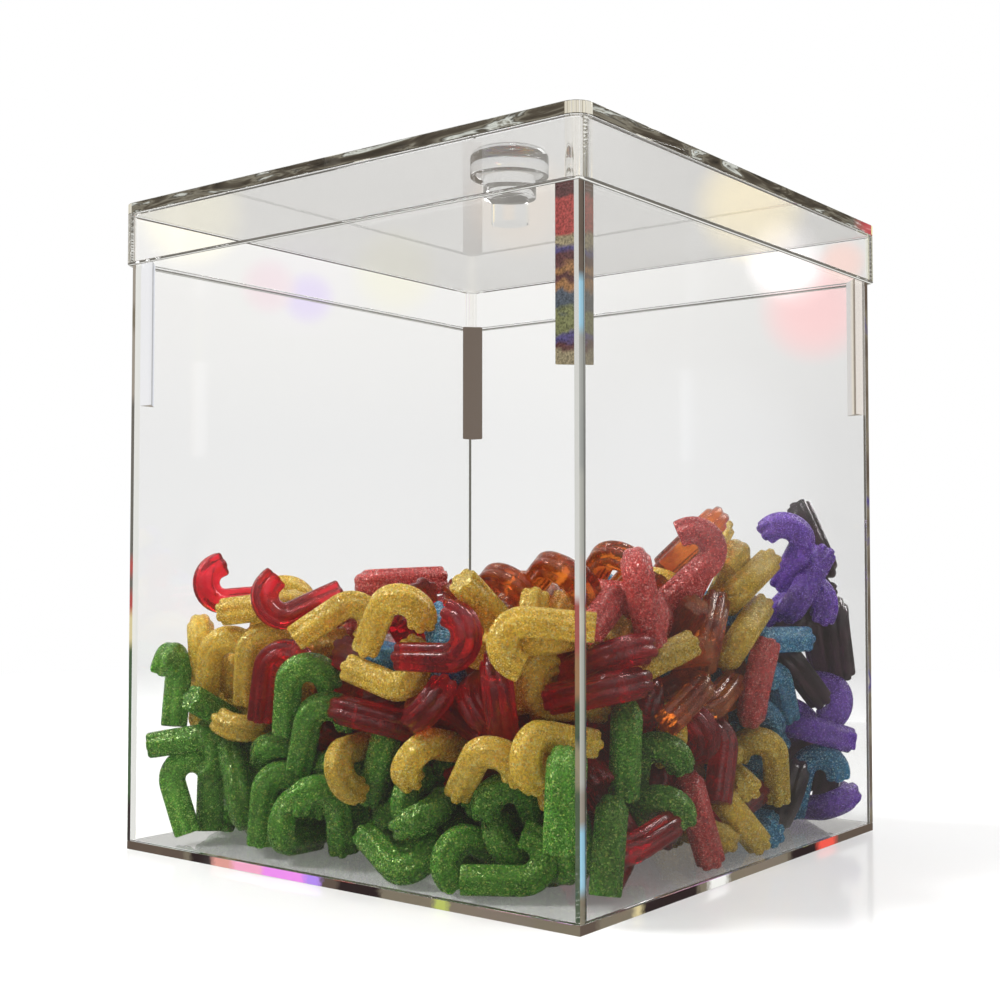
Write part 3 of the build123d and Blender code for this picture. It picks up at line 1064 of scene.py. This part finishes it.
# Soft lights, each with a pixel that it is seen at, its half width in pixels and its colour. Those behind
# the object tint the backdrop as seen through the box. Those that a wall mirrors are at the pixel's mirror
# image in that wall.
Glow = namedtuple("Glow", "pixel reach colour wall", defaults=[None])
BACKDROP_GLOWS = [
    Glow((815, 308), 60, (1.32, 0.90, 0.90)),
    Glow((845, 262), 26, (1.30, 0.98, 0.90)),
    Glow((785, 258), 44, (1.5, 1.45, 1.45)),
    Glow((752, 205), 62, (1.7, 1.5, 1.05)),
    Glow((308, 298), 30, (0.97, 0.90, 1.10)),
    Glow((268, 286), 32, (1.08, 0.95, 0.97)),
    Glow((190, 212), 60, (1.35, 1.3, 1.1)),
    Glow((520, 205), 60, (1.2, 1.1, 1.0)),
    Glow((395, 272), 50, (1.1, 1.08, 0.95)),
]
MIRRORED_GLOWS = [
    Glow((790, 262), 50, (1.0, 0.9, 0.85), RIGHT),
    Glow((700, 470), 130, (0.30, 0.30, 0.31), RIGHT),
    Glow((300, 283), 60, (0.22, 0.12, 0.32), FRONT),
]
# Between the two directions in which the walls mirror the camera's view, the room and far floor are light
BESIDE = (math.sqrt(0.5), -math.sqrt(0.5), 0.0)
LIGHT_BESIDE = (0.72, 0.71, 0.69, 1.0)
ROOM_DARK, ROOM_HIGH, ROOM_ABOVE = (0.10, 0.09, 0.08), (0.32, 0.31, 0.30), (0.55, 0.54, 0.52)
SOFT_LIGHT = (0.76, 0.46)  # what the world sheds on the object, from the left and from the right
DEEP = 6  # bounces after which a path counts as deep in an edge
# By height, from straight down to straight up
BACKDROP = [(0.0, (1, 1, 1)), (0.54, (1, 1, 1)), (0.60, (1.08, 1.07, 1.05)), (1.0, (1, 1, 1))]
ROOM = [(0.0, ROOM_DARK), (0.585, ROOM_DARK), (0.63, ROOM_HIGH), (0.70, ROOM_ABOVE)]
# What the edges mirror, high or low, by noise
STREAKS = [
    (0.3, (0.08, 0.07, 0.06)), (0.5, (0.18, 0.16, 0.13)), (0.6, (0.40, 0.39, 0.35)),
    (0.75, (0.8, 0.8, 0.76)),
]


def beside(s, way):
    """1 in directions within about 40 degrees of BESIDE or its opposite, and 0 far from it."""
    level = s.vector("NORMALIZE", s.vector("MULTIPLY", way, (1, 1, 0)))
    return s.scaled(s.size(s.vector("DOT_PRODUCT", level, BESIDE)), 0.55, 0.80, kind="SMOOTHSTEP")


def add_floor():
    """A white floor with a soft gloss and shadow that fades into the white around it."""
    grid = bmesh.new()
    bmesh.ops.create_grid(grid, x_segments=1, y_segments=1, size=FLOOR_SIZE / 2)
    mesh = bpy.data.meshes.new("floor_stage")
    grid.to_mesh(mesh)
    grid.free()
    floor = in_scene("floor_stage", mesh)
    floor.location.z = -FLOOR_DROP
    made, s = material("floor_white")
    place = s.place()
    path = s.add("LightPath").outputs
    far = s.vector("LENGTH", place)
    gloss = s.scaled(far, *GLOSS_ENDS, 0.4, 0.0)
    inputs = {"Base Color": FLOOR_PAINT, "Roughness": 0.12, "Specular IOR Level": gloss}
    fade = s.scaled(far, *FLOOR_FADES)
    floor_light = s.blend(fade, s.add("BsdfPrincipled", inputs).outputs[0], s.glow(WHITE))
    through = s.times(path["Is Transmission Ray"], s.scaled(far, *LIFT_EVENS, UNDER_BOX, 1.0))
    strength = s.times(s.math("MAXIMUM", path["Is Camera Ray"], through), FLOOR_LIFT)
    lift = s.glow(WHITE, s.times(strength, s.math("SUBTRACT", 1.0, fade)))
    lit = s.add("AddShader", {0: floor_light, 1: lift}).outputs[0]
    light_part = s.times(beside(s, place), s.scaled(far, *SIDE_LIGHT))
    mirrored_floor = s.mix(light_part, FLOOR_IN_MIRRORS, LIGHT_BESIDE)
    dim = s.glow(s.mix(s.over(path["Ray Depth"], DEEP), mirrored_floor, FLOOR_IN_EDGES))
    s.surface(s.blend(s.over(path["Glossy Depth"], 0.5), lit, dim))
    mesh.materials.append(made)


def add_lamp(name, place, power, size):
    """A soft square lamp that shines on the box."""
    data = bpy.data.lights.new(name, "AREA")
    data.shape = "SQUARE"
    data.energy, data.size = power, size
    lamp = in_scene(name, data)
    lamp.location = place
    lamp.rotation_euler = (LAMPS_AIM - Vector(place)).to_track_quat("-Z", "Y").to_euler()


def glowing(s, way, ground, glows):
    """A colour by direction with soft-edged glows over it."""
    for glow in glows:
        toward = Vector(sight(glow.pixel))
        if glow.wall is not None:
            toward[glow.wall] *= -1
        tightness = math.cos(glow.reach / FOCAL_PIXELS)
        spot = s.scaled(s.vector("DOT_PRODUCT", way, toward), tightness, 1.0, kind="SMOOTHSTEP")
        ground = s.mix(spot, ground, (*glow.colour, 1.0))
    return ground


def add_world():
    """White behind the object, and a room around it that only the acrylic mirrors."""
    world = bpy.data.worlds.new("world")
    scene.world = world
    s = Shader(world)
    way = s.add("TexCoord").outputs["Generated"]
    path = s.add("LightPath").outputs
    x, _, z = s.parts(way)
    height = s.scaled(z, -1.0, 1.0)
    backdrop = glowing(s, way, s.ramp(height, BACKDROP), BACKDROP_GLOWS)
    room = s.mix(s.times(beside(s, way), s.scaled(z, 0.0, 0.10)), s.ramp(height, ROOM), LIGHT_BESIDE)
    mirrored = glowing(s, way, room, MIRRORED_GLOWS)
    level = s.scaled(s.size(z), *LEVEL_BAND)
    streaks = s.noise(way, scale=9.0, detail=4.0, distortion=1.0)
    edges = s.mix(level, EDGE_LEVEL, s.ramp(streaks, STREAKS))
    room = s.mix(s.over(path["Ray Depth"], DEEP), mirrored, edges)
    seen = s.mix(s.math("MINIMUM", path["Glossy Depth"], 1.0), backdrop, room)
    seen = s.mix(path["Is Diffuse Ray"], seen, s.scaled(x, -1.0, 1.0, *SOFT_LIGHT))
    seen = s.mix(path["Is Camera Ray"], seen, WHITE)
    background = s.add("Background", {"Color": seen, "Strength": 1.0})
    s.add("OutputWorld", {"Surface": background.outputs[0]})


scene.view_settings.view_transform = "Standard"
scene.cycles.max_bounces = scene.cycles.transmission_bounces = scene.cycles.glossy_bounces = 80
scene.cycles.transparent_max_bounces = 48
add_floor()
add_world()
add_lamp("key", (-0.75, -0.6, 1.1), 18.0, 0.30)
add_lamp("top", (0.1, 0.1, 1.4), 5.0, 0.25)
add_lamp("back", (0.3, 1.0, 0.9), 6.0, 0.5)
